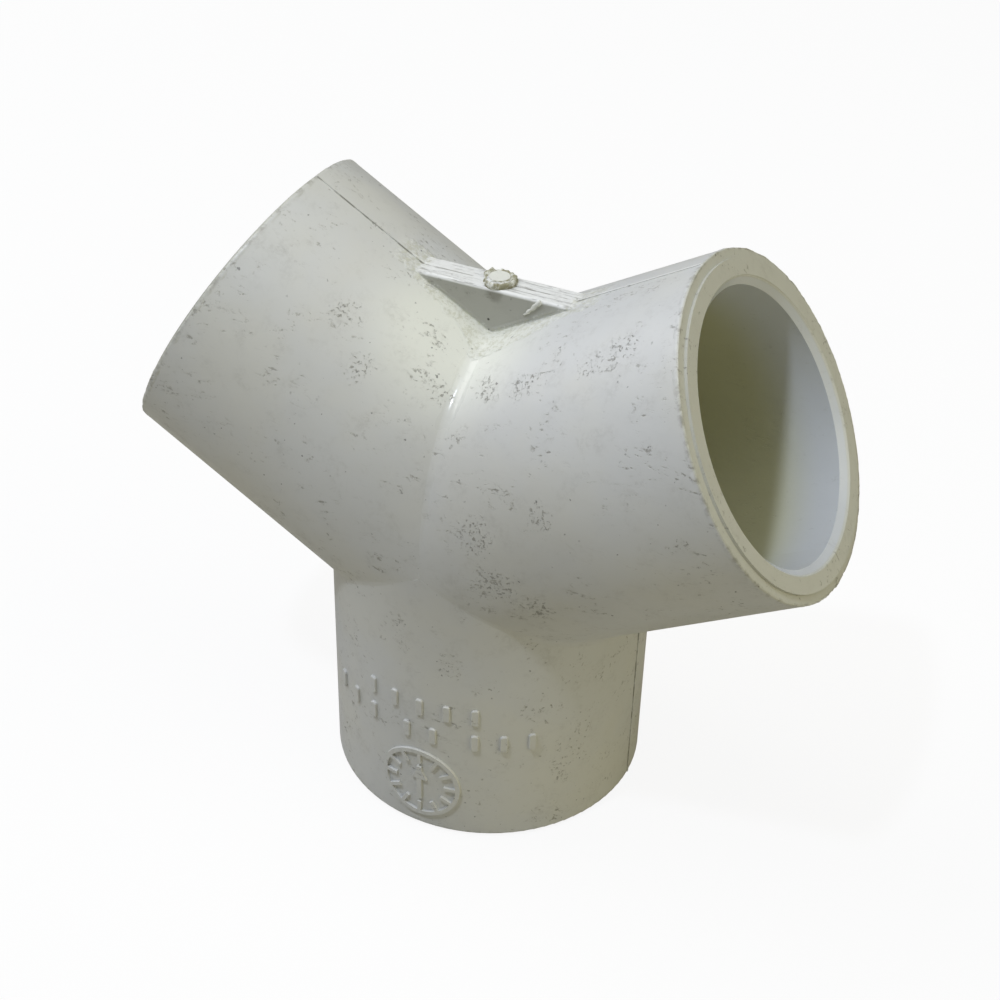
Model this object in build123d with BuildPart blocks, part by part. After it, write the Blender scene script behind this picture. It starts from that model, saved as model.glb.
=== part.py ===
from build123d import *
from math import cos, radians, sin, tan
import os

# Equal three-way wye for plastic pipe, in millimetres, +Z up. It is one moulded piece:
# three equal slip sockets, 120 degrees apart in the plane y = 0. It stands on the mouth
# of its leg, whose centre is the origin; the two arms rise 60 degrees either side of +Z.

# Sockets
arm_spread = 120        # angle from one socket to the next
hub_r = 21.1            # outside of each socket
stop_distance = 12.7    # junction centre to each pipe stop
socket_depth = 28.6     # pipe stop to mouth
seat_r = 16.75          # straight inner part of the socket
seat_taper = 0.08       # how much wider the socket is just behind the lead-in
taper_depth = 10.0      # mouth to the start of the straight seat
waterway_r = 13.3       # passage behind the pipe stops

# Mouth
lead_in = 0.94          # chamfer at the socket's edge, radial and along the axis
ledge_width = 1.27      # outer ledge of the rim
ledge_drop = 0.38       # how far the ledge lies behind the mouth
rim_round = 0.25        # outer corner of the ledge

# Where the sockets run into each other
junction_round = 1.8

# Web between the two arms, and the cut gate on it
web_thickness = 4.2
web_rise = 5.95         # top of the web above the crotch of the arms
web_overrun = 2.0       # how far the web runs on into the arms
web_edge_round = 0.45
gate_base_r = 1.9
gate_face_r = 1.3
gate_height = 0.7

# Flash left where the two mould halves meet
flash_height = 0.12
flash_width = 0.3

# Plain raised marks on the front of the leg
mark_height = 0.35
mark_round = 0.15
mark_root = 1.0         # depth of a mark's root in the wall
dial_z = 7.9
dial_r = 5.6
dial_ring_width = 0.6
dial_ticks = 12
tick_length = 1.3
tick_width = 0.5
hand_length = 5.6
hand_width = 0.7
hand_head_length = 2.1
hand_head_width = 2.2
bar_height = 2.56
bar_width = 1.0
lower_row_z = 16.6
lower_row_angles = (-40, -30, -20, -5, 5, 20, 30, 40)
upper_row_z = 20.9
upper_row_angles = (-20, -10, 0, 10, 20)

reach = stop_distance + socket_depth
junction_z = reach
seat_mouth_r = seat_r + seat_taper
lip_r = hub_r - ledge_width
mark_face_r = hub_r + mark_height
crotch_rise = hub_r / sin(radians(arm_spread / 2))
web_top = junction_z + crotch_rise + web_rise
web_half_length = web_rise * tan(radians(arm_spread / 2)) + web_overrun

os.makedirs("parts", exist_ok=True)


def section_plane(turn):
    """Half-section of one socket: x is the radius, y runs from the junction to the mouth."""
    a = radians(turn)
    return Plane(origin=(0, 0, junction_z), x_dir=(cos(a), 0, -sin(a)), z_dir=(0, -1, 0))


def leg_front(angle, z):
    """Plane inside the leg's wall, facing out; the angle is counted from -Y towards +X."""
    a = radians(angle)
    out = Vector(sin(a), -cos(a), 0)
    origin = out * (hub_r - mark_root) + Vector(0, 0, z)
    return Plane(origin=origin, x_dir=(cos(a), sin(a), 0), z_dir=out)


# Socket turns from straight up, towards +X
right_arm = section_plane(arm_spread / 2)
left_arm = section_plane(-arm_spread / 2)
leg = section_plane(180)
sockets = (right_arm, left_arm, leg)

# Date dial: ring, ticks and a hand, wrapped on the leg
with BuildPart() as dial:
    with BuildSketch(leg_front(0, dial_z)):
        Circle(dial_r)
        Circle(dial_r - dial_ring_width, mode=Mode.SUBTRACT)
        with PolarLocations(dial_r - dial_ring_width - tick_length / 2, dial_ticks):
            Rectangle(tick_length + dial_ring_width, tick_width)
        Rectangle(hand_width, hand_length)
        with Locations((0, hand_length / 2)):
            Polygon(
                (-hand_head_width / 2, -hand_head_length),
                (hand_head_width / 2, -hand_head_length),
                (0, 0),
                align=None,
            )
    extrude(amount=mark_root + mark_height)
    with Locations((0, 0, dial_z)):
        Cylinder(mark_face_r, 4 * dial_r, mode=Mode.INTERSECT)

# Rows of plain bars around the leg
with BuildPart() as bars:
    for row_z, row_angles in ((lower_row_z, lower_row_angles), (upper_row_z, upper_row_angles)):
        for angle in row_angles:
            bar_plane = leg_front(angle, row_z)
            with BuildSketch(bar_plane):
                RectangleRounded(bar_width, bar_height, bar_width * 0.35)
            extrude(amount=mark_root + mark_height)
            outwards = Axis(bar_plane.origin, bar_plane.z_dir)
            bar_top = bars.faces(Select.LAST).sort_by(outwards)[-1]
            fillet(bar_top.edges(), radius=mark_round)

with BuildPart() as wye_body:
    # Outside of the three sockets, with the stepped rim
    for plane in sockets:
        with BuildSketch(plane):
            with BuildLine():
                Polyline(
                    (0, 0),
                    (hub_r, 0),
                    (hub_r, reach - ledge_drop),
                    (lip_r, reach - ledge_drop),
                    (lip_r, reach),
                    (0, reach),
                    close=True,
                )
            make_face()
        revolve(axis=Axis(plane.origin, plane.y_dir))
    creases = wye_body.edges().filter_by(GeomType.ELLIPSE)
    fillet(creases, radius=junction_round)
    ledge_corners = wye_body.edges().filter_by(
        lambda e: e.geom_type == GeomType.CIRCLE and abs(e.radius - hub_r) < 0.01
    )
    fillet(ledge_corners, radius=rim_round)

    # Web between the arms, rounded along its top
    with BuildSketch(Plane.YZ.offset(-web_half_length)):
        with Locations((0, web_top)):
            web_section = Rectangle(
                web_thickness, web_rise + crotch_rise / 2, align=(Align.CENTER, Align.MAX)
            )
        fillet(web_section.vertices().group_by(Axis.Z)[-1], radius=web_edge_round)
    extrude(amount=2 * web_half_length)

    # Stub left where the gate was cut off
    with BuildSketch(Plane.XY.offset(web_top)):
        Circle(gate_base_r)
    with BuildSketch(Plane.XY.offset(web_top + gate_height)):
        Circle(gate_face_r)
    loft()

    # Flash along the parting plane
    for plane in sockets:
        with BuildSketch(plane):
            Rectangle(2 * (hub_r + flash_height), reach - ledge_drop - rim_round,
                      align=(Align.CENTER, Align.MIN))
        extrude(amount=flash_width / 2, both=True)

    add(dial.part)
    add(bars.part)

    # Sockets and waterway
    for plane in sockets:
        with BuildSketch(plane):
            with BuildLine():
                Polyline(
                    (0, 0),
                    (waterway_r, 0),
                    (waterway_r, stop_distance),
                    (seat_r, stop_distance),
                    (seat_r, reach - taper_depth),
                    (seat_mouth_r, reach - lead_in),
                    (seat_mouth_r + lead_in, reach),
                    (0, reach),
                    close=True,
                )
            make_face()
        revolve(axis=Axis(plane.origin, plane.y_dir), mode=Mode.SUBTRACT)

wye_body.part.label = "wye_body"
export_step(wye_body.part, "parts/wye_body.step")
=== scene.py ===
# %% [markdown]
# # A moulded pipe wye
# One piece of injection-moulded white PVC: three equal slip sockets that meet at
# 120 degrees, a thin web between the two upper arms, and the stub of the gate that
# the plastic flowed in through. The exact shape arrives with the frame, so this
# lesson is about what a moulded part really looks like: the satin skin, the dirt
# and scuffs of handling, torn edges, and light soft enough to show them.

from math import cos, pi, radians, sin

import bmesh
import bpy
from mathutils import Matrix, Vector, noise


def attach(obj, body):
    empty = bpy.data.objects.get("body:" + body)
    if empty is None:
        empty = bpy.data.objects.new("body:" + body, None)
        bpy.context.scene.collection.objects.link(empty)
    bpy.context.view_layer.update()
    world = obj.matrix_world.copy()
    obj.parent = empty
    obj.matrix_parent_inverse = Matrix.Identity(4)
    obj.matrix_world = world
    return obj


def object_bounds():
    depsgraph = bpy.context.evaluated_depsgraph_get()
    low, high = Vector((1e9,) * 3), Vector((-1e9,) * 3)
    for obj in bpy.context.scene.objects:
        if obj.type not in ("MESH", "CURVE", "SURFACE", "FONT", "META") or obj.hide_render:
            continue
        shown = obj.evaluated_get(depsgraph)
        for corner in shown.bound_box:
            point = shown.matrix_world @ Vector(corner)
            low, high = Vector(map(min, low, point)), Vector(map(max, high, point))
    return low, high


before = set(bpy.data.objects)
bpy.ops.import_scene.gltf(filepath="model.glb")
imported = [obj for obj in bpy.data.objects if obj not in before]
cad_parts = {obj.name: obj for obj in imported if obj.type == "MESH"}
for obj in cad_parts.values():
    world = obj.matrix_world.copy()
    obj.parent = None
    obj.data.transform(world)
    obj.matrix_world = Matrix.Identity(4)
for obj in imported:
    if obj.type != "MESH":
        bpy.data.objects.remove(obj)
cad_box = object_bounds()
wye = bpy.data.objects["wye_body"]

# %% [markdown]
# The fitting's own geometry is simple enough to state in a few numbers: where the
# three axes meet, how they point, how wide the hub is, and how high the web and the
# gate's stub reach. Pieces are placed in metres, as the CAD is. A pattern in a material
# is easier to think about in millimetres, so the materials work in those.

# %% The fitting's own sizes
MM = 0.001
REACH = 41.3 * MM
HUB_R = 21.1 * MM
LEDGE_DROP = 0.38 * MM
WEB_TOP = 71.614 * MM
GATE_TOP = WEB_TOP + 0.7 * MM
ARM_LEAN = radians(60)
JUNCTION = Vector((0, 0, REACH))
AXES = {
    "right": Vector((sin(ARM_LEAN), 0, cos(ARM_LEAN))),
    "left": Vector((-sin(ARM_LEAN), 0, cos(ARM_LEAN))),
    "leg": Vector((0, 0, -1)),
}
print("junction", list(JUNCTION), "gate top", GATE_TOP)

# %% [markdown]
# A material is a graph of many small nodes. One helper adds them, links them and lays
# them out in rows, so that a line in the material cells below is one step of the recipe:
# a noise, a fade between two distances, a coat of colour over the last one.

# %% Node helpers
NODE_WIDE, NODE_TALL, NODE_ROWS = 190, 240, 5
GROUP_WIDE = 2600
GIVES_NUMBER = ("DOT_PRODUCT", "LENGTH", "DISTANCE")


class Nodes:
    """Adds nodes to one tree, left to right, and links what is given as inputs."""

    def __init__(self, tree):
        self.tree = tree
        self.count = 0

    def add(self, kind, settings=None, **inputs):
        node = self.tree.nodes.new("ShaderNode" + kind)
        column, row = divmod(self.count, NODE_ROWS)
        node.location = (NODE_WIDE * column, -NODE_TALL * row)
        self.count += 1
        for name, value in (settings or {}).items():
            setattr(node, name, value)
        for name, value in inputs.items():
            self.set(node, name, value)
        return node

    def set(self, node, name, value):
        """Sets or links one input, called by its name or, as i0 or i1, by its number."""
        numbered = name[0] == "i" and name[1:].isdigit()
        socket = node.inputs[int(name[1:]) if numbered else name.replace("_", " ")]
        if isinstance(value, bpy.types.NodeSocket):
            self.tree.links.new(value, socket)
        else:
            socket.default_value = value

    def group(self, tree, **inputs):
        return self.add("Group", {"node_tree": tree}, **inputs).outputs

    def math(self, operation, a, b=0.0, clamp=False):
        settings = {"operation": operation, "use_clamp": clamp}
        return self.add("Math", settings, i0=a, i1=b).outputs[0]

    def times(self, value, *factors):
        for factor in factors:
            value = self.math("MULTIPLY", value, factor)
        return value

    def plus(self, value, *others):
        for other in others:
            value = self.math("ADD", value, other)
        return value

    def minus(self, value, *others):
        for other in others:
            value = self.math("SUBTRACT", value, other)
        return value

    def absolute(self, value):
        return self.math("ABSOLUTE", value)

    def either(self, a, b):
        """The stronger of two masks."""
        return self.math("MAXIMUM", a, b)

    def ramp(self, value, low, high, at_low=0.0, at_high=1.0):
        """Smooth step: at_low where value is low or less, at_high where it is high or more."""
        node = self.add("MapRange", {"interpolation_type": "SMOOTHSTEP"}, Value=value,
                        From_Min=low, From_Max=high, To_Min=at_low, To_Max=at_high)
        return node.outputs["Result"]

    def fade(self, value, low, high):
        """Smooth step down from 1 to 0."""
        return self.ramp(value, low, high, 1.0, 0.0)

    def vector(self, operation, *values):
        inputs = {f"i{number}": value for number, value in enumerate(values)}
        node = self.add("VectorMath", {"operation": operation}, **inputs)
        return node.outputs["Value" if operation in GIVES_NUMBER else "Vector"]

    def scaled(self, vector, factor):
        return self.add("VectorMath", {"operation": "SCALE"}, i0=vector, Scale=factor).outputs[0]

    def point_mm(self):
        """The point being shaded, in millimetres from the object's origin."""
        return self.scaled(self.add("TexCoord").outputs["Object"], 1 / MM)

    def distance(self, point, place):
        return self.vector("DISTANCE", point, place)

    def noise(self, vector, scale, detail=3.0, roughness=0.55, distortion=0.0):
        node = self.add("TexNoise", None, Vector=vector, Scale=scale, Detail=detail,
                        Roughness=roughness, Distortion=distortion)
        return node.outputs["Fac"]

    def pulled(self, point, scale, detail, pull):
        """Point pulled this way and that by a noise, by up to so much along each axis."""
        wobble = self.add("TexNoise", None, Vector=point, Scale=scale, Detail=detail)
        return self.vector("ADD", point, self.scaled(wobble.outputs["Color"], pull))

    def mix(self, factor, a, b):
        node = self.add("Mix", {"data_type": "RGBA", "clamp_factor": True}, i0=factor, i6=a, i7=b)
        return node.outputs[2]

    def coat(self, color, paint, mask, strength):
        """Colour with another painted over it, where the mask says and so strongly."""
        return self.mix(self.times(mask, strength), color, paint)


def new_group(name, inputs, outputs):
    """Empty shader node group with named sockets; returns it with its Nodes helper."""
    tree = bpy.data.node_groups.new(name, "ShaderNodeTree")
    for socket_name, kind, value in inputs:
        socket = tree.interface.new_socket(socket_name, in_out="INPUT", socket_type=kind)
        if value is not None:
            socket.default_value = value
    for socket_name, kind in outputs:
        tree.interface.new_socket(socket_name, in_out="OUTPUT", socket_type=kind)
    entry = tree.nodes.new("NodeGroupInput")
    leave = tree.nodes.new("NodeGroupOutput")
    leave.location = (GROUP_WIDE, 0)
    return tree, Nodes(tree), entry.outputs, leave.inputs


print("helpers ready")

# %% [markdown]
# ## Where on the fitting are we?
# Dirt and wear know where they are: grime sits on the rim's torn edge and along the
# parting line, the inside of a socket stays clean. A node group works that out from
# Object coordinates. For each socket axis, a cross product gives the distance from
# the axis and a dot product gives the way along it.

# %% Group: places on the fitting
PLACES = ("Inside", "Rim", "Rim edge", "Near mouth", "Lead-in", "Parting", "Crotch",
          "Crotch band", "Crease", "Web", "Knocks")
# Where a mask comes in or goes out, in mm: along an axis from the junction,
PAST_JUNCTION = (-0.5, 0.5)
TOWARDS_MOUTH = (30.0, 38.5)
EDGE_BEGINS = (40.1, 40.8)
CHAMFER_BEGINS = (40.3, 40.45)
FACE_BEGINS = (40.6, 40.85)
# out from that axis,
CHAMFER_WALL = (16.7, 16.9)
SOCKET_WALL = (17.4, 17.9)
FACE_INNER = (17.5, 17.9)
FACE_OUTER = (20.6, 21.0)
# and round the corner between the arms
CROTCH_MIDDLE, CROTCH_FADE = (-3, -6, 66.0), (4.0, 15.0)
CROTCH_Z, ARM_SLOPE = 65.4, 0.5774
WEB_HALF, WEB_SKIN, WEB_FOOT, WEB_END = 2.1, (2.16, 2.3), (0.15, 0.5), (11.5, 12.5)
BAND_WANDER, BAND_EDGE = 2.6, (-0.25, 0.25)
BAND_WIDE, BAND_NARROW, BAND_LEFT_SHARE = 4.9, 0.4, 0.55
BAND_END, BAND_TOP, BAND_FOOT = (12.5, 14.0), (0.5, 1.0), (61.5, 63.0)
CREASE_HALF, CREASE_FOOT, CREASE_OUT = (0.5, 1.8), (57.5, 61.0), (6.0, 8.0)
PARTING_Y, PARTING_HALF = -0.19, (0.04, 0.14)
# A knock: where it was, in mm, and how far its scuffs spread; noise pulls it out of round
KNOCKS = (
    ((-14, -12, 70), 3.4), ((-11, -15, 65), 3.0), ((-2, -12, 62), 2.6), ((4, -12, 64), 3.0),
    ((9, -12, 66), 2.8), ((17, -12, 71), 2.8), ((20, -11, 74), 3.0), ((2, -16, 59), 1.6),
    ((7, -21, 50), 4.0), ((15, -21, 55), 3.2), ((10, -21, 44), 4.2), ((15, -20, 41), 3.6),
    ((32, -21, 57), 1.8), ((4, -21, 28), 2.6), ((-2, -21, 30), 2.2), ((17, -13, 9), 2.2),
)
KNOCK_PULL = 3.4
KNOCK_CORE = 0.35


def socket_masks(n, mm):
    """Masks that every socket has, each joined over the three axes."""
    masks = {"Inside": 0.0, "Rim": 0.0, "Rim edge": 0.0, "Near mouth": 0.0, "Lead-in": 0.0}
    from_junction = n.vector("SUBTRACT", mm, JUNCTION / MM)
    for axis in AXES.values():
        way = n.vector("DOT_PRODUCT", from_junction, axis)
        radius = n.vector("LENGTH", n.vector("CROSS_PRODUCT", from_junction, axis))
        within = n.times(n.fade(radius, *SOCKET_WALL), n.ramp(way, *PAST_JUNCTION))
        chamfer = n.times(n.ramp(radius, *CHAMFER_WALL), within)
        here = {
            "Inside": within,
            "Rim": n.times(n.ramp(way, *FACE_BEGINS), n.ramp(radius, *FACE_INNER)),
            "Rim edge": n.times(n.ramp(way, *EDGE_BEGINS), n.ramp(radius, *FACE_OUTER)),
            "Near mouth": n.times(n.ramp(way, *TOWARDS_MOUTH), within),
            "Lead-in": n.times(n.ramp(way, *CHAMFER_BEGINS), chamfer),
        }
        for name, mask in here.items():
            masks[name] = n.either(masks[name], mask)
    return masks


def corner_masks(n, mm):
    """Masks round the corner between the arms, and the parting line's."""
    axes = n.add("SeparateXYZ", None, Vector=mm).outputs
    side, depth, z = n.absolute(axes["X"]), n.absolute(axes["Y"]), axes["Z"]
    above_arms = n.minus(z, CROTCH_Z, n.times(side, ARM_SLOPE))
    # The rough band: the spark-eroded corner along the web's foot, widest where the arms meet
    swing = n.minus(n.noise(mm, 0.7, detail=4.0, roughness=0.65), 0.5)
    narrowing = n.ramp(side, 0.0, BAND_END[1], BAND_WIDE, BAND_NARROW)
    width = n.times(narrowing, n.ramp(axes["X"], -2.5, 0.0, BAND_LEFT_SHARE, 1.0))
    from_foot = n.plus(n.minus(depth, WEB_HALF, width), n.times(swing, BAND_WANDER))
    return {
        "Parting": n.fade(n.absolute(n.minus(axes["Y"], PARTING_Y)), *PARTING_HALF),
        "Crotch": n.fade(n.distance(mm, CROTCH_MIDDLE), *CROTCH_FADE),
        "Crotch band": n.times(n.fade(from_foot, *BAND_EDGE), n.fade(side, *BAND_END),
                               n.fade(above_arms, *BAND_TOP), n.ramp(z, *BAND_FOOT)),
        "Crease": n.times(n.fade(side, *CREASE_HALF), n.ramp(z, *CREASE_FOOT),
                          n.ramp(depth, *CREASE_OUT)),
        "Web": n.times(n.fade(depth, *WEB_SKIN), n.ramp(above_arms, *WEB_FOOT),
                       n.fade(side, *WEB_END)),
    }


def knock_mask(n, mm):
    """Mask of the knocked spots; each moves with the pull's average, so that it stays put."""
    moved = n.pulled(mm, 0.45, 3.0, KNOCK_PULL)
    mask = 0.0
    for spot, spread in KNOCKS:
        middle = [value + KNOCK_PULL / 2 for value in spot]
        here = n.fade(n.distance(moved, middle), spread * KNOCK_CORE, spread)
        mask = n.either(mask, here)
    return mask


def build_places():
    outputs = [("Point mm", "NodeSocketVector")] + [(name, "NodeSocketFloat") for name in PLACES]
    tree, n, _, leave = new_group("fitting places", [], outputs)
    mm = n.point_mm()
    found = {"Point mm": mm, "Knocks": knock_mask(n, mm)}
    found.update(socket_masks(n, mm))
    found.update(corner_masks(n, mm))
    for name, value in found.items():
        tree.links.new(value, leave[name])
    return tree


places_group = build_places()
print(places_group.name, len(places_group.nodes), "nodes")

# %% [markdown]
# ## Dirt from handling
# A fitting that has rattled around in a bin picks up three kinds of dirt: tiny dark
# specks pressed into the skin, broken scuff strokes in clusters, and faint smudges.
# Each is a threshold on a texture, and a slow noise decides where the clusters are.
# It is a group, because both the skin and the torn plastic wear the same dirt.

# %% Group: handling dirt
SPECK_SIZES = (
    # cells per mm, radius in cells, share of cells kept in clean places, and in dirty ones
    (0.34, 0.085, 0.16, 0.50),
    (0.75, 0.125, 0.06, 0.30),
    (1.60, 0.170, 0.02, 0.13),
)
SPECK_RAGGED, SPECK_PULL = 3.4, 0.45
SPECK_SHARPNESS = 14.0
SMALLEST_SPECK, PALEST_SPECK = 0.4, 0.4
RISING = {"turn": (20, -35, 25), "stretch": (0.40, 1.5, 1.1), "scale": 0.95}
FALLING = {"turn": (-15, 40, -50), "stretch": (0.50, 1.6, 1.2), "scale": 0.80}


def build_specks(n, point, dirty):
    """Dark dots: Voronoi cells, of which a few are kept, each with its own radius."""
    specks = 0.0
    for scale, size, clean_share, dirty_share in SPECK_SIZES:
        moved = n.pulled(point, scale * SPECK_RAGGED, 2.0, SPECK_PULL / scale)
        cells = n.add("TexVoronoi", {"feature": "F1"}, Vector=moved, Scale=scale, Randomness=1.0)
        lot = n.add("SeparateColor", None, Color=cells.outputs["Color"]).outputs
        share = n.plus(n.times(dirty, dirty_share - clean_share), clean_share)
        kept = n.math("LESS_THAN", lot["Red"], share)
        radius = n.times(n.plus(lot["Green"], SMALLEST_SPECK), size)
        depth = n.minus(radius, cells.outputs["Distance"])
        dot = n.math("MULTIPLY", depth, SPECK_SHARPNESS, clamp=True)
        darkness = n.plus(n.times(lot["Blue"], 1 - PALEST_SPECK), PALEST_SPECK)
        specks = n.either(specks, n.times(dot, darkness, kept))
    return specks


def build_strokes(n, point, turn, stretch, scale):
    """Broken strokes that lie along one direction."""
    turned = n.add("Mapping", None, Vector=point, Scale=stretch,
                   Rotation=[radians(angle) for angle in turn])
    strokes = n.noise(turned.outputs[0], scale, detail=4.0, roughness=0.62, distortion=0.8)
    return n.ramp(strokes, 0.575, 0.665)


def build_scuffs(n, point, dirty, knocks):
    """Strokes two ways, broken into crumbs; where it was knocked the crumbs run together."""
    crumbs = n.ramp(n.noise(point, 2.3, roughness=0.7), 0.44, 0.60)
    strokes = n.either(build_strokes(n, point, **RISING), build_strokes(n, point, **FALLING))
    patches = n.ramp(n.noise(point, 0.21, detail=2.0, roughness=0.5), 0.50, 0.60)
    patches = n.plus(n.times(patches, 0.85), n.times(dirty, 0.30))
    grit = n.noise(point, 2.1, detail=5.0, roughness=0.72, distortion=0.4)
    grit = n.ramp(n.plus(grit, n.times(knocks, 0.085)), 0.635, 0.70)
    return n.either(n.times(strokes, crumbs, patches), n.times(grit, knocks))


def build_dirt():
    tree, n, entry, leave = new_group(
        "handling dirt",
        [("Point mm", "NodeSocketVector", None), ("Amount", "NodeSocketFloat", 1.0),
         ("Knocks", "NodeSocketFloat", 0.0)],
        [(name, "NodeSocketFloat") for name in ("Specks", "Scuffs", "Smudge")],
    )
    point, knocks = entry["Point mm"], entry["Knocks"]
    clusters = n.ramp(n.noise(point, 0.10, detail=2.0, roughness=0.5), 0.44, 0.62)
    dirty = n.either(clusters, n.times(knocks, 0.6))
    slow = n.ramp(n.noise(point, 0.30, roughness=0.6), 0.48, 0.74)
    quick = n.ramp(n.noise(point, 1.6, detail=4.0, roughness=0.7), 0.36, 0.68)
    found = {
        "Specks": build_specks(n, point, dirty),
        "Scuffs": build_scuffs(n, point, dirty, knocks),
        "Smudge": n.times(slow, quick),
    }
    for name, value in found.items():
        amount = n.math("MULTIPLY", value, entry["Amount"], clamp=True)
        tree.links.new(amount, leave[name])
    return tree


dirt_group = build_dirt()
print(dirt_group.name, len(dirt_group.nodes), "nodes")

# %% [markdown]
# ## White PVC
# Moulded PVC isn't pure white. The skin is a cool grey-white with slow warm and cool
# drifts, and creamier where the mould was eroded in the corner between the arms. Inside
# the sockets light is painted in: yellow deep in, where light bounces from wall to wall,
# and paler and cooler near the mouth. The skin is satin: fairly smooth, with a faint
# orange peel and duller scuffs.

# %% Material: the moulded skin
SKIN_COOL = (0.648, 0.656, 0.640, 1)
SKIN_WARM = (0.662, 0.662, 0.618, 1)
CREAM = (0.810, 0.820, 0.735, 1)
# Painted light inside the sockets: a yellow bounce deep in, a paler cool light near the mouth
INNER_DEEP_PAINTED_BOUNCE = (0.575, 0.575, 0.405, 1)
INNER_MOUTH_PAINTED_LIGHT = (0.640, 0.665, 0.690, 1)
# Painted shade: a darker, warmer colour for the rim faces
RIM_FACE_PAINTED_SHADE = (0.580, 0.580, 0.510, 1)
# Painted shade for the web's sides, and a pale painted highlight for the web's top and the right
# arm's ridge
WEB_PAINTED_SHADE = (0.440, 0.440, 0.385, 1)
PAINTED_HIGHLIGHT = (0.850, 0.855, 0.825, 1)
PIT = (0.560, 0.560, 0.430, 1)
SOOT = (0.060, 0.055, 0.045, 1)
# Grime colour for real dirt, also used for painted shade on the front and a painted shadow under
# the gate
GRIME_AND_SHADE = (0.200, 0.185, 0.145, 1)
PVC_IOR = 1.53
DIRT_INSIDE = 0.2
# Places in mm: the front, darkened as painted shade; the web's upper edge; a painted shadow and a
# pinhole on the web's front
FRONT_SHADE_AT, FRONT_SHADE_FADE, FRONT_SHADE_SHARE = (6, -22, 46), (7.0, 24.0), 0.15
WEB_EDGE_Z = (71.1, 71.5)
GATE_SHADOW_AT, GATE_SHADOW_FADE, GATE_SHADOW_RAGGED = (0.3, -2.3, 71.2), (1.2, 2.2), 1.2
PINHOLE_AT, PINHOLE_FADE = (-0.4, -2.1, 67.4), (0.10, 0.22)
# Where a highlight is painted on the ridge that the parting line turns into on the right arm
RIDGE_X, RIDGE_Z, RIDGE_HALF = (8.0, 14.0), (55.0, 62.0), (0.12, 0.18)
SCRATCH_STRETCH = (0.16, 2.6, 0.2)
# Heights of the relief, in mm
PEEL_HEIGHT, WAVE_HEIGHT, EROSION_HEIGHT, GOUGE_HEIGHT = 0.012, 0.10, 0.20, -0.04


def new_material(name):
    material = bpy.data.materials.new(name)
    material.use_nodes = True
    tree = material.node_tree
    return material, Nodes(tree), tree.nodes["Principled BSDF"]


def dress(n, shader, color, rough, height):
    """Gives a plastic its colour, its roughness and its relief, whose height is in mm."""
    relief = n.add("Bump", None, Height=height, Strength=1.0, Distance=MM)
    n.set(shader, "Base_Color", color)
    n.set(shader, "Roughness", rough)
    n.set(shader, "IOR", PVC_IOR)
    n.set(shader, "Normal", relief.outputs["Normal"])


def paint_regions(n, point, place):
    """The plastic's own colour with slow drifts and the pale corner; painted light inside the
    sockets and painted shade on the front and the rim faces.
    """
    color = n.mix(n.ramp(n.noise(point, 0.06), 0.38, 0.66), SKIN_COOL, SKIN_WARM)
    color = n.coat(color, CREAM, place["Crotch"], strength=0.9)
    # Painted shade: the hub's front is darkened, most at its middle
    front_shade = n.ramp(n.distance(point, FRONT_SHADE_AT), *FRONT_SHADE_FADE, FRONT_SHADE_SHARE, 0.0)
    color = n.mix(front_shade, color, GRIME_AND_SHADE)
    # Painted light: yellow bounce deep in the sockets, paler and cooler light near the mouth
    inner_painted_light = n.mix(place["Near mouth"], INNER_DEEP_PAINTED_BOUNCE, INNER_MOUTH_PAINTED_LIGHT)
    color = n.mix(place["Inside"], color, inner_painted_light)
    # Painted shade: the rim faces get a darker, warmer colour
    return n.coat(color, RIM_FACE_PAINTED_SHADE, place["Rim"], strength=0.9)


def paint_web(n, point, color, web_side, web_top):
    """The web's sides in painted shade and its top in a painted highlight, with a painted shadow
    under the gate and a pinhole.
    """
    # Painted shade on the web's sides, a painted highlight on its top
    color = n.coat(color, WEB_PAINTED_SHADE, web_side, strength=0.9)
    color = n.mix(web_top, color, PAINTED_HIGHLIGHT)
    # Painted shadow of the gate's stub on the web's front, with a ragged edge
    ragged = n.times(n.noise(point, 1.2, roughness=0.6), GATE_SHADOW_RAGGED)
    to_gate_shadow = n.plus(n.distance(point, GATE_SHADOW_AT), ragged)
    gate_shadow = n.times(n.fade(to_gate_shadow, *GATE_SHADOW_FADE), web_side)
    color = n.coat(color, GRIME_AND_SHADE, gate_shadow, strength=0.55)
    return n.mix(n.fade(n.distance(point, PINHOLE_AT), *PINHOLE_FADE), color, SOOT)


def paint_parting(n, point, color, place, outside):
    """Dirt in the parting line, broken here and there, but on the right arm a painted highlight
    along the ridge instead.
    """
    where = n.add("SeparateXYZ", None, Vector=point).outputs
    right_arm = n.times(n.ramp(where["X"], *RIDGE_X), n.ramp(where["Z"], *RIDGE_Z))
    breaks = n.ramp(n.noise(point, 0.5, roughness=0.6), 0.40, 0.58)
    line = n.times(place["Parting"], breaks, outside, n.minus(1.0, right_arm))
    color = n.coat(color, GRIME_AND_SHADE, line, strength=0.60)
    # Painted highlight: a pale line along the top of the ridge
    ridge = n.times(n.fade(n.absolute(where["Y"]), *RIDGE_HALF), right_arm, outside,
                    n.minus(1.0, place["Rim"]))
    return n.coat(color, PAINTED_HIGHLIGHT, ridge, strength=0.9)


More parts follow.
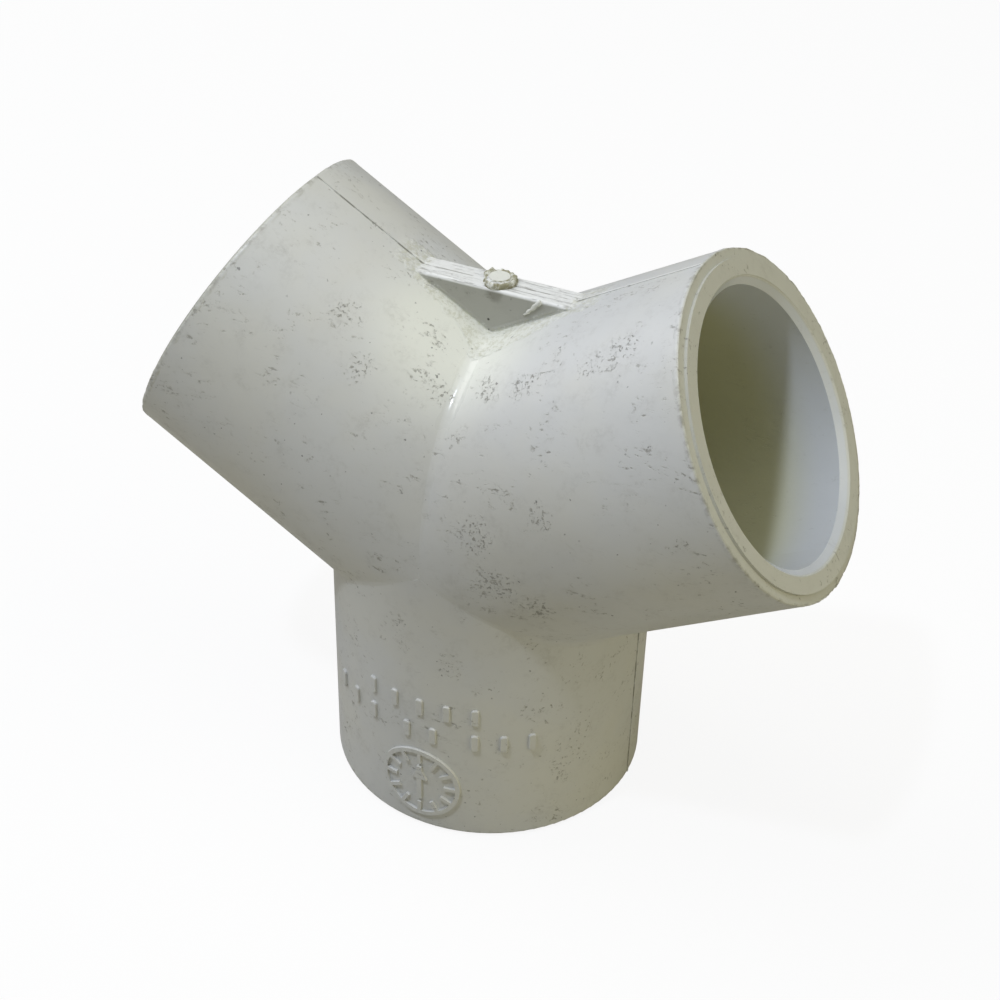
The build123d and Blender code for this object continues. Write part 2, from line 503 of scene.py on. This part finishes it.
def build_skin():
    material, n, shader = new_material("white pvc skin")
    place = n.group(places_group)
    point = place["Point mm"]
    outside = n.minus(1.0, place["Inside"])
    amount = n.plus(n.times(outside, 1 - DIRT_INSIDE), DIRT_INSIDE)
    dirt = n.group(dirt_group, Point_mm=point, Amount=amount, Knocks=place["Knocks"])
    height = n.add("SeparateXYZ", None, Vector=point).outputs["Z"]
    web_side = n.times(place["Web"], n.fade(height, *WEB_EDGE_Z))
    web_top = n.times(place["Web"], n.ramp(height, *WEB_EDGE_Z))
    mottle = n.noise(point, 1.5, detail=4.0, roughness=0.75)
    along = n.add("Mapping", None, Vector=point, Scale=SCRATCH_STRETCH).outputs[0]
    scratches = n.noise(along, 1.2, detail=4.0, roughness=0.75, distortion=0.3)
    scratches = n.times(n.ramp(scratches, 0.53, 0.64), web_top)
    torn = n.ramp(n.noise(point, 0.8, detail=4.0, roughness=0.7), 0.46, 0.64)

    color = paint_regions(n, point, place)
    color = paint_web(n, point, color, web_side, web_top)
    # The rough corner by the web: greenish pits and pale crumbs
    pits = n.times(n.ramp(mottle, 0.46, 0.60), place["Crotch band"])
    color = n.coat(color, PIT, pits, strength=0.55)
    crumbs = n.times(n.ramp(mottle, 0.47, 0.38), place["Crotch band"])
    color = n.coat(color, CREAM, crumbs, strength=0.6)
    color = paint_parting(n, point, color, place, outside)
    color = n.coat(color, GRIME_AND_SHADE, scratches, strength=0.42)
    # Grime caught behind the torn outer edge of each rim, then the dirt of handling
    color = n.coat(color, GRIME_AND_SHADE, n.times(place["Rim edge"], torn), strength=0.42)
    color = n.coat(color, GRIME_AND_SHADE, dirt["Smudge"], strength=0.17)
    color = n.coat(color, GRIME_AND_SHADE, dirt["Scuffs"], strength=0.62)
    color = n.coat(color, SOOT, dirt["Specks"], strength=0.75)

    rough = n.ramp(n.noise(point, 0.35, roughness=0.6), 0.3, 0.7, 0.34, 0.46)
    rough = n.plus(rough, n.times(dirt["Scuffs"], 0.25))
    rough = n.math("ADD", rough, n.times(place["Crotch band"], 0.25), clamp=True)
    polished = n.either(place["Crease"], place["Lead-in"])
    rough = n.math("SUBTRACT", rough, n.times(polished, 0.22), clamp=True)

    # Relief: orange peel, long flow waves, the rough corner, and what has been gouged out
    peel = n.times(n.noise(point, 0.9, detail=2.0, roughness=0.5), PEEL_HEIGHT)
    waves = n.times(n.noise(point, 0.16, detail=2.0, roughness=0.5), WAVE_HEIGHT)
    erosion = n.times(mottle, place["Crotch band"], EROSION_HEIGHT)
    gouges = n.times(n.plus(dirt["Scuffs"], scratches), GOUGE_HEIGHT)
    dress(n, shader, color, rough, n.plus(n.plus(peel, waves), n.plus(erosion, gouges)))
    return material


skin = build_skin()
wye.material_slots[0].material = skin
print(skin.name, len(skin.node_tree.nodes), "nodes")

# %% [markdown]
# ## Torn plastic
# Where the gate was cut the plastic is torn: pale on the fresh cut, stained brown-green
# in the pits round it, and dull. A clean version without the stain serves where a knife
# has only shaved it. Both wear the same scuffs as the skin.

# %% Material: torn plastic
CUT_FACE = (0.780, 0.785, 0.710, 1)
TORN_EDGE = (0.300, 0.285, 0.175, 1)
GATE_MIDDLE = (0, 0, GATE_TOP / MM)
FRESH_FADE = (1.22, 1.36)


def build_torn(name, stained):
    """Torn plastic; stained says how much of it is brown in the pits, from 0 to 1."""
    material, n, shader = new_material(name)
    point = n.point_mm()
    dirt = n.group(dirt_group, Point_mm=point, Amount=1.0)
    stains = n.ramp(n.noise(point, 0.9, detail=4.0, roughness=0.65), 0.36, 0.56)
    fresh = n.fade(n.distance(point, GATE_MIDDLE), *FRESH_FADE)
    color = n.mix(n.times(stains, n.minus(1.0, fresh), stained), CUT_FACE, TORN_EDGE)
    color = n.coat(color, GRIME_AND_SHADE, dirt["Scuffs"], strength=0.7)
    rough = n.ramp(n.noise(point, 1.1, roughness=0.6), 0.3, 0.7, 0.45, 0.65)
    grain = n.noise(point, 3.0, detail=4.0, roughness=0.7)
    dress(n, shader, color, rough, n.times(grain, 0.10))
    return material


torn_plastic = build_torn("torn pvc", 1.0)
shaved_plastic = build_torn("shaved pvc", 0.0)
print(torn_plastic.name, len(torn_plastic.node_tree.nodes), "nodes")

# %% [markdown]
# ## The cut gate
# Molten plastic entered through a round gate on the web. It was snapped and trimmed,
# which left a short stub with a pale cut face, a torn collar round it and a lip that
# leans to one side. A profile is spun into a round stub first; then noise pushes
# every point, little at the foot and more at the torn collar.

# %% Finishing a piece
def finish_piece(name, shape, material):
    """Turns a bmesh into a smooth piece of the fitting that rides on its one body."""
    # No piece may reach past the box of the CAD, which is the fitting's true size
    low, high = cad_box
    for vert in shape.verts:
        vert.co = [min(max(value, low[i]), high[i]) for i, value in enumerate(vert.co)]
    bmesh.ops.recalc_face_normals(shape, faces=shape.faces)
    mesh = bpy.data.meshes.new(name)
    shape.to_mesh(mesh)
    shape.free()
    mesh.shade_smooth()
    mesh.materials.append(material)
    piece = bpy.data.objects.new(name, mesh)
    bpy.context.collection.objects.link(piece)
    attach(piece, "root")
    print(name, len(mesh.polygons), "faces")


def spun(profile, steps):
    """Closed surface of revolution round Z from a list of (radius, height) in millimetres."""
    shape = bmesh.new()
    verts = [shape.verts.new((radius * MM, 0, height * MM)) for radius, height in profile]
    edges = [shape.edges.new(pair) for pair in zip(verts, verts[1:])]
    bmesh.ops.spin(shape, geom=verts + edges, cent=(0, 0, 0), axis=(0, 0, 1), dvec=(0, 0, 0),
                   angle=2 * pi, steps=steps, use_merge=True, use_duplicate=False)
    bmesh.ops.remove_doubles(shape, verts=shape.verts, dist=1e-6)
    return shape


def outwards(vert):
    """Direction of a point away from the Z axis."""
    return Vector((vert.co.x, vert.co.y, 0)).normalized()


def rise(value, start, length):
    """0 up to start, then straight up to 1 over length."""
    return min(max((value - start) / length, 0), 1)


# %% Gate stub
GATE_PROFILE = (
    # radius and height above the cut face: hidden foot, torn collar, groove, then the cut face
    (0.0, -1.1), (1.9, -1.1), (2.02, -0.95), (2.10, -0.72), (2.13, -0.50), (2.10, -0.30),
    (2.00, -0.14), (1.88, -0.06), (1.74, -0.05), (1.62, -0.12), (1.52, -0.22), (1.44, -0.24),
    (1.38, -0.14), (1.34, 0.00), (1.29, 0.05), (1.20, 0.06), (0.95, 0.06), (0.60, 0.06),
    (0.30, 0.06), (0.0, 0.06),
)
GATE_STEPS = 120
COLLAR_R, COLLAR_DEPTH, COLLAR_FADE_R, COLLAR_FADE_UP = 1.4, 1.0, 0.25, 0.5
LOBES_OUT, LOBES_UP, COLLAR_SAG, FACE_WOBBLE = 0.42, 0.55, 0.06, 0.06
shape = spun(GATE_PROFILE, GATE_STEPS)
for vert in shape.verts:
    radius = Vector((vert.co.x, vert.co.y)).length / MM
    if radius < 0.01:
        continue
    out = outwards(vert)
    collar = rise(radius, COLLAR_R, COLLAR_FADE_R)
    collar *= rise(vert.co.z / MM, -COLLAR_DEPTH, COLLAR_FADE_UP)
    lobes = (noise.noise(out * 1.9 + Vector((3, 1, 6))) * 0.75
             + noise.noise(out * 4.6 + Vector((8, 2, 0))) * 0.30)
    fine = noise.noise(vert.co / MM * 2.6) * 0.10
    vert.co += out * collar * (lobes * LOBES_OUT + fine) * MM
    vert.co.z += collar * (lobes * LOBES_UP - COLLAR_SAG + fine) * MM
    if radius < COLLAR_R:
        vert.co += out * noise.noise(out * 2.4) * FACE_WOBBLE * MM
bmesh.ops.translate(shape, verts=shape.verts, vec=(0, 0, GATE_TOP))
finish_piece("gate_stub", shape, torn_plastic)

# %% [markdown]
# ## Knocked rims
# The outer edge of each upper rim has been knocked again and again, which turned a
# narrow band of it over. A flat bead is spun round the edge, mostly sunk in the body,
# and noise lifts it into burrs a tenth of a millimetre proud, so that the edge is no
# longer a clean circle. The leg stands on its rim, so it needs none.

# %% Rim burrs
BEAD_HALF_WIDTH = 0.42
BEAD_HALF_HEIGHT = 0.15
BEAD_SUNK = 0.12
BEAD_BACK = 0.40
BEAD_SIDES, BEAD_STEPS = 16, 540
BURR_SPREAD, BURR_SEED_STEP = 21, 40
BURR_COARSE, BURR_FINE, BURR_SINK, BURR_FORWARD = 0.16, 0.12, 0.02, 0.4


def rim_burr(name, axis, seed):
    centre_r, centre_z = HUB_R / MM - BEAD_SUNK, (REACH - LEDGE_DROP) / MM - BEAD_BACK
    turns = [2 * pi * i / BEAD_SIDES for i in range(BEAD_SIDES + 1)]
    ring = [(centre_r + BEAD_HALF_HEIGHT * cos(turn), centre_z + BEAD_HALF_WIDTH * sin(turn))
            for turn in turns]
    shape = spun(ring, BEAD_STEPS)
    for vert in shape.verts:
        around = outwards(vert)
        spot = around * BURR_SPREAD + Vector((0, 0, seed + vert.co.z / MM * 0.6))
        worn = noise.noise(around * 2.3 + Vector((0, 0, seed))) * 0.5 + 0.5
        rough = noise.noise(spot * 0.7) * BURR_COARSE + noise.noise(spot * 2.3) * BURR_FINE
        lift = rough * worn - BURR_SINK
        vert.co += (around + Vector((0, 0, BURR_FORWARD))) * lift * MM
    turn = axis.to_track_quat("Z", "Y").to_matrix().to_4x4()
    bmesh.ops.transform(shape, matrix=Matrix.Translation(JUNCTION) @ turn, verts=shape.verts)
    finish_piece(name, shape, skin)


for number, arm in enumerate(("right", "left")):
    rim_burr("rim_burr_" + arm, AXES[arm], number * BURR_SEED_STEP)

# %% [markdown]
# ## A curl on the web
# A knife slip raised one thin pale curl on the front face of the web. A small cone is
# a good start: it is narrow at the bottom, thick at the top, and lies half sunk in the
# face. It is cut into rings, bent sideways by noise and pressed flat.

# %% Web curl
CURL_FROM = Vector((4.25, -2.1, 69.25))
CURL_TO = Vector((6.35, -2.1, 71.45))
CURL_THIN, CURL_THICK = 0.14, 0.34
CURL_SIDES, CURL_CUTS = 14, 22
CURL_SWAY, CURL_PINCH, CURL_FLAT, CURL_PROUD = 0.18, 0.5, 0.75, 0.08
shape = bmesh.new()
bmesh.ops.create_cone(shape, cap_ends=True, segments=CURL_SIDES, radius1=CURL_THIN,
                      radius2=CURL_THICK, depth=1.0)
rings = [edge for edge in shape.edges if abs(edge.verts[0].co.z - edge.verts[1].co.z) > 0.5]
bmesh.ops.subdivide_edges(shape, edges=rings, cuts=CURL_CUTS, use_grid_fill=True)
lengthwise = CURL_TO - CURL_FROM
across = Vector((lengthwise.z, 0, -lengthwise.x)).normalized()
for vert in shape.verts:
    t = vert.co.z + 0.5
    sway = noise.noise(Vector((t * 3.5, 0, 5))) * CURL_SWAY
    pinch = 1 + CURL_PINCH * noise.noise(Vector((t * 6, 4, 1)))
    outward = Vector((0, vert.co.y * CURL_FLAT * pinch - CURL_PROUD, 0))
    vert.co = (CURL_FROM + lengthwise * t + across * (vert.co.x * pinch + sway) + outward) * MM
finish_piece("web_curl", shape, shaved_plastic)

# %% [markdown]
# ## Camera
# The fitting is seen from its front right and from above, about 34 degrees up, close
# enough for the near mouth to look larger than the far one. The camera's three axes
# come from azimuth, elevation and a slight roll, and its place from the junction.

# %% Camera
AZIMUTH, ELEVATION, ROLL = radians(25.44), radians(34.40), radians(0.97)
DISTANCE, ASIDE, ABOVE = 227.75 * MM, -2.46 * MM, 3.10 * MM
SENSOR_WIDTH, LENS = 36, 63.58
SHIFT_X, SHIFT_Y = 0.0245, -0.0349
NEAREST = 0.01


def direction(azimuth, height):
    """Unit vector; azimuth is from -Y towards +X, both are in radians."""
    return Vector((sin(azimuth) * cos(height), -cos(azimuth) * cos(height), sin(height)))


back = direction(AZIMUTH, ELEVATION)
level_right = Vector((cos(AZIMUTH), sin(AZIMUTH), 0))
level_up = back.cross(level_right)
right = level_right * cos(ROLL) + level_up * sin(ROLL)
up = back.cross(right)
camera_data = bpy.data.cameras.new("camera")
camera_data.sensor_width = SENSOR_WIDTH
camera_data.lens = LENS
camera_data.shift_x = SHIFT_X
camera_data.shift_y = SHIFT_Y
camera_data.clip_start = NEAREST
camera = bpy.data.objects.new("camera", camera_data)
bpy.context.collection.objects.link(camera)
place = JUNCTION + back * DISTANCE + right * ASIDE + up * ABOVE
turn = Matrix((right, up, back)).transposed().to_4x4()
camera.matrix_world = Matrix.Translation(place) @ turn
bpy.context.scene.camera = camera
print("camera at", [round(v, 4) for v in camera.location])

# %% [markdown]
# ## Floor, sky and lamps
# The fitting stands on a plain pale floor. The floor answers the camera with a white
# that hardly takes a shadow, and other rays with a darker warm grey, so that the
# underside of the arms stays as dim as it is on a real table. An even sky fills the
# shadows. A small cool key lamp high up gives the glint in the crease and the crisp
# shadow inside the mouth, a window lights the left side, and a warm wall answers from
# the right.

# %% Floor
FLOOR_SIDE = 6.0
FLOOR_GLOW = 0.90
FLOOR_LIT = (0.90, 0.90, 0.90, 1)
FLOOR_HIDDEN = (0.46, 0.44, 0.37, 1)
WHITE = (1.0, 1.0, 1.0, 1)
floor_mesh = bpy.data.meshes.new("floor")
shape = bmesh.new()
bmesh.ops.create_grid(shape, x_segments=1, y_segments=1, size=FLOOR_SIDE / 2)
shape.to_mesh(floor_mesh)
shape.free()
floor = bpy.data.objects.new("floor", floor_mesh)
bpy.context.collection.objects.link(floor)
floor_material = bpy.data.materials.new("pale floor")
floor_material.use_nodes = True
tree = floor_material.node_tree
tree.nodes.remove(tree.nodes["Principled BSDF"])
n = Nodes(tree)
lit = n.add("BsdfDiffuse", None, Color=FLOOR_LIT).outputs[0]
glow = n.add("Emission", None, Color=WHITE, Strength=1.0).outputs[0]
seen = n.add("MixShader", None, i0=FLOOR_GLOW, i1=lit, i2=glow).outputs[0]
hidden = n.add("BsdfDiffuse", None, Color=FLOOR_HIDDEN).outputs[0]
is_camera = n.add("LightPath").outputs["Is Camera Ray"]
both = n.add("MixShader", None, i0=is_camera, i1=hidden, i2=seen)
tree.links.new(both.outputs[0], tree.nodes["Material Output"].inputs["Surface"])
floor_mesh.materials.append(floor_material)
print("floor", FLOOR_SIDE, "m square")

# %% Sky
SKY_LIGHT = (0.140, 0.144, 0.154, 1)
world = bpy.data.worlds.new("soft room")
world.use_nodes = True
bpy.context.scene.world = world
n = Nodes(world.node_tree)
is_camera = n.add("LightPath").outputs["Is Camera Ray"]
n.set(world.node_tree.nodes["Background"], "Color", n.mix(is_camera, SKY_LIGHT, WHITE))
print("sky set")


# %% Lamps
LAMP_DISTANCE = 0.9
LAMPS = (
    # name, azimuth and height in degrees, size in m, power in W, color
    ("key lamp", -25, 65, 0.06, 3.00, (0.78, 0.85, 1.00)),
    ("ceiling", 0, 90, 0.60, 0.95, (1.00, 0.99, 0.94)),
    ("left window", -90, 50, 0.60, 3.20, (1.00, 0.99, 0.98)),
    ("right wall", 90, 50, 0.60, 1.45, (1.00, 0.98, 0.82)),
    ("left wall low", -90, 15, 0.60, 0.45, (1.00, 0.97, 0.92)),
    ("right wall low", 90, 15, 0.60, 1.10, (1.00, 0.90, 0.45)),
    ("right corner low", 60, 15, 0.60, 0.35, (1.00, 0.84, 0.30)),
)
for name, azimuth, height, size, power, color in LAMPS:
    data = bpy.data.lights.new(name, "AREA")
    data.shape = "SQUARE"
    data.size = size
    data.energy = power
    data.color = color
    lamp = bpy.data.objects.new(name, data)
    bpy.context.collection.objects.link(lamp)
    # A lamp shines along its own -Z, so its Z points away from the junction
    out = direction(radians(azimuth), radians(height))
    lamp.location = JUNCTION + out * LAMP_DISTANCE
    lamp.rotation_euler = out.to_track_quat("Z", "Y").to_euler()
bpy.context.scene.view_settings.view_transform = "Standard"
print("lamps", [name for name, *_ in LAMPS])
